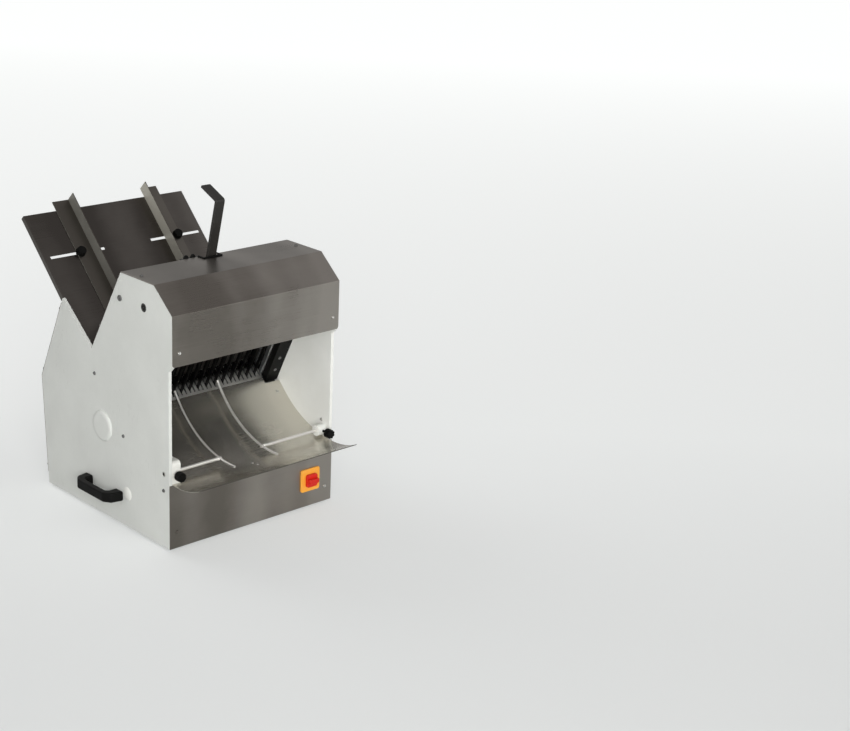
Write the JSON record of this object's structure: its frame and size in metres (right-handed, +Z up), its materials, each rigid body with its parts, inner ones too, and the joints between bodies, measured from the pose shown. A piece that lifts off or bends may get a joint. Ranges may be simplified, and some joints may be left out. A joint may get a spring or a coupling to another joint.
{
  "type": "bread slicer machine",
  "caption": "Counter-top bread slicer: sloped feed plate with loaf guides, two reciprocating blade frames behind a hood, push lever and curved outfeed chute.",
  "frame": {"origin": "centre of the machine's box, on the surface that its feet stand on", "axes": "+Z up, -Y towards the outfeed chute, +X to the right as seen from the outfeed side"},
  "size_m": [0.554, 0.7014, 0.7708],
  "materials": {
    "white_paint": "white powder coat, slightly glossy",
    "stainless_sheet": "brushed stainless sheet",
    "bright_steel": "bright turned or drawn steel",
    "blade_steel": "ground blade steel",
    "grey_steel": "grey painted mild steel",
    "black_plastic": "moulded black plastic",
    "black_paint": "black powder coat",
    "white_plastic": "white machined plastic",
    "yellow_plastic": "yellow moulded plastic",
    "red_plastic": "red moulded plastic",
    "motor_alloy": "finned motor housing",
    "cast_pulley": "turned cast iron",
    "rubber": "black rubber"
  },
  "bodies": {
    "machine_body": {"left_side_plate": "white_paint", "right_side_plate": "white_paint", "base_plate": "grey_steel", "front_panel": "stainless_sheet", "top_cover": "stainless_sheet", "rear_cover": "stainless_sheet", "feed_plate": "stainless_sheet", "outfeed_chute": "stainless_sheet", "blade_comb": "bright_steel", "left_guide_channel": "black_plastic", "right_guide_channel": "black_plastic", "upper_tie_bar": "black_paint", "feed_support_bar": "grey_steel", "chute_support_bar": "grey_steel", "left_handle": "black_plastic", "right_handle": "black_plastic", "left_bearing": "bright_steel", "right_bearing": "bright_steel", "left_bearing_cap": "white_plastic", "right_bearing_cap": "white_plastic", "left_rod_block": "white_plastic", "right_rod_block": "white_plastic", "round_plug": "white_plastic", "switch_plate": "yellow_plastic", "switch_body": "black_plastic", "motor_housing": "motor_alloy", "motor_mount": "grey_steel", "drive_belt": "rubber", "cable_gland": "black_plastic", "rubber_feet": "rubber", "cover_lugs": "white_paint", "pivot_pins": "bright_steel", "pan_screws": "bright_steel"},
    "crank": {"crankshaft": "bright_steel", "crank_pulley": "cast_pulley"},
    "rotor": {"motor_rotor": "bright_steel", "motor_pulley": "cast_pulley"},
    "rear_frame": {"rear_yoke_bar": "grey_steel", "rear_top_bar": "grey_steel", "rear_side_bars": "grey_steel", "rear_blades": "blade_steel"},
    "front_frame": {"front_yoke_bar": "grey_steel", "front_top_bar": "grey_steel", "front_side_bars": "grey_steel", "front_blades": "blade_steel"},
    "pusher": {"pusher_shaft": "bright_steel", "push_lever": "black_paint", "pusher_arms": "grey_steel", "pusher_plate": "black_plastic"},
    "left_guide": {"left_feed_guide": "stainless_sheet"},
    "right_guide": {"right_feed_guide": "stainless_sheet"},
    "left_knob": {"left_guide_knob": "black_plastic"},
    "right_knob": {"right_guide_knob": "black_plastic"},
    "left_wire": {"left_wire_guide": "bright_steel"},
    "right_wire": {"right_wire_guide": "bright_steel"},
    "left_clamp": {"left_clamp_knob": "black_plastic"},
    "right_clamp": {"right_clamp_knob": "black_plastic"},
    "switch": {"switch_knob": "red_plastic"}
  },
  "joints": [
    {"name": "crank_turn", "type": "hinge", "parent": "machine_body", "child": "crank", "pos_m": [0, 0.00479, 0.2235], "axis": [1, 0, 0], "range_deg": [-90, 90]},
    {"name": "rear_stroke", "type": "slide", "parent": "machine_body", "child": "rear_frame", "axis": [0, -0.4462, 0.8949], "range_m": [-0.01001, 0.01001]},
    {"name": "front_stroke", "type": "slide", "parent": "machine_body", "child": "front_frame", "axis": [0, -0.4462, 0.8949], "range_m": [-0.01001, 0.01001]},
    {"name": "motor_turn", "type": "hinge", "parent": "machine_body", "child": "rotor", "pos_m": [0, 0.15079, 0.093], "axis": [1, 0, 0], "range_deg": [-217, 217]},
    {"name": "pusher_swing", "type": "hinge", "parent": "machine_body", "child": "pusher", "pos_m": [0, -0.07121, 0.547], "axis": [-1, 0, 0], "range_deg": [0, 75]},
    {"name": "left_guide_slide", "type": "slide", "parent": "machine_body", "child": "left_guide", "axis": [1, 0, 0], "range_m": [-0.077, 0.064]},
    {"name": "right_guide_slide", "type": "slide", "parent": "machine_body", "child": "right_guide", "axis": [1, 0, 0], "range_m": [-0.072, 0.064]},
    {"name": "left_knob_turn", "type": "hinge", "parent": "left_guide", "child": "left_knob", "pos_m": [-0.128, 0.2482, 0.56068], "axis": [0, -0.7009, 0.7133], "range_deg": [0, 360]},
    {"name": "right_knob_turn", "type": "hinge", "parent": "right_guide", "child": "right_knob", "pos_m": [0.15, 0.2482, 0.56068], "axis": [0, -0.7009, 0.7133], "range_deg": [0, 360]},
    {"name": "left_wire_slide", "type": "slide", "parent": "machine_body", "child": "left_wire", "axis": [-1, 0, 0], "range_m": [-0.015, 0.1]},
    {"name": "right_wire_slide", "type": "slide", "parent": "machine_body", "child": "right_wire", "axis": [1, 0, 0], "range_m": [-0.015, 0.14]},
    {"name": "left_clamp_turn", "type": "hinge", "parent": "machine_body", "child": "left_clamp", "pos_m": [-0.215, -0.26521, 0.18018], "axis": [0, -1, 0], "range_deg": [0, 360]},
    {"name": "right_clamp_turn", "type": "hinge", "parent": "machine_body", "child": "right_clamp", "pos_m": [0.215, -0.26521, 0.18018], "axis": [0, -1, 0], "range_deg": [0, 360]},
    {"name": "switch_turn", "type": "hinge", "parent": "machine_body", "child": "switch", "pos_m": [0.168, -0.25621, 0.072], "axis": [0, -1, 0], "range_deg": [0, 90]}
  ],
  "couplings": [
    {"joint": "rear_stroke", "follows": "crank_turn", "m_per_rad": 0.0063662},
    {"joint": "front_stroke", "follows": "crank_turn", "m_per_rad": -0.0063662},
    {"joint": "motor_turn", "follows": "crank_turn", "ratio": 2.4}
  ]
}
